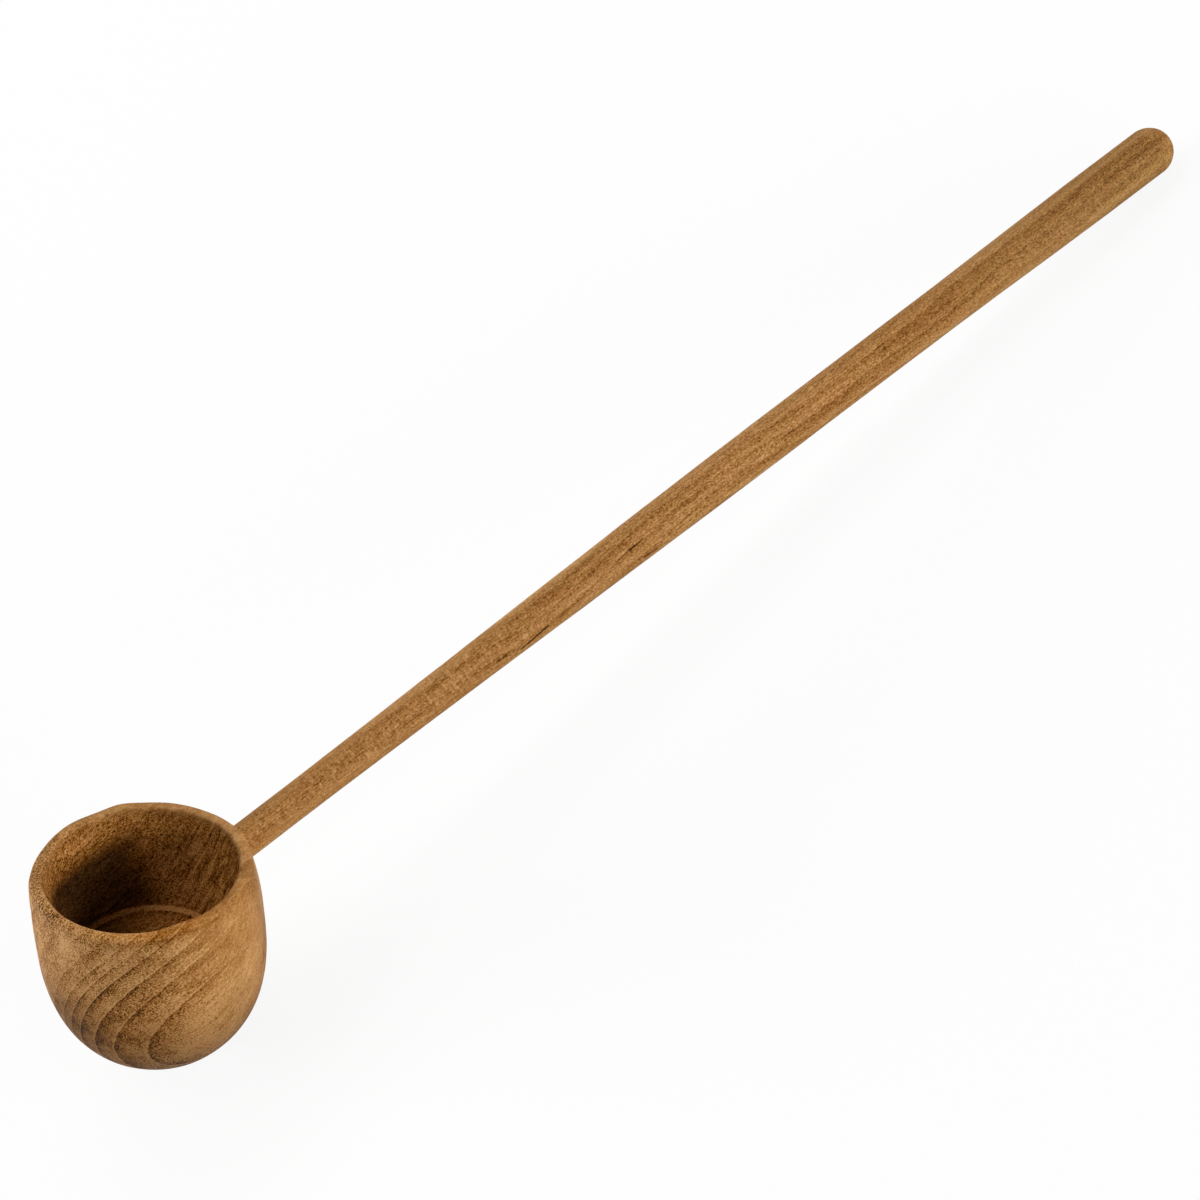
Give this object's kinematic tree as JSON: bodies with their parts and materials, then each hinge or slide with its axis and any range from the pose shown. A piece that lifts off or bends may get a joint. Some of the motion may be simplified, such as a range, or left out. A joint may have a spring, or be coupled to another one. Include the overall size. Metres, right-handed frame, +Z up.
{
  "type": "serving spoon",
  "caption": "Long-handled teak serving spoon with a deep cup-like bowl and a straight round handle that thickens to a domed tip, for scooping and ladling.",
  "frame": {"origin": "on the table, under the middle of the spoon's box as it lies at rest on the bottom of its bowl and the tip of its handle", "axes": "+X along the handle from the bowl to the tip, +Z up from the table, Y across"},
  "size_m": [0.317, 0.05, 0.0568],
  "materials": {
    "bowl_teak": "turned and hand-sanded teak with bold growth rings, thinly oiled, dull",
    "handle_teak": "straight-grained teak with short flecks and pores along the fibre, thinly oiled, dull"
  },
  "bodies": {
    "root": {"bowl": "bowl_teak", "handle": "handle_teak"}
  },
  "joints": []
}
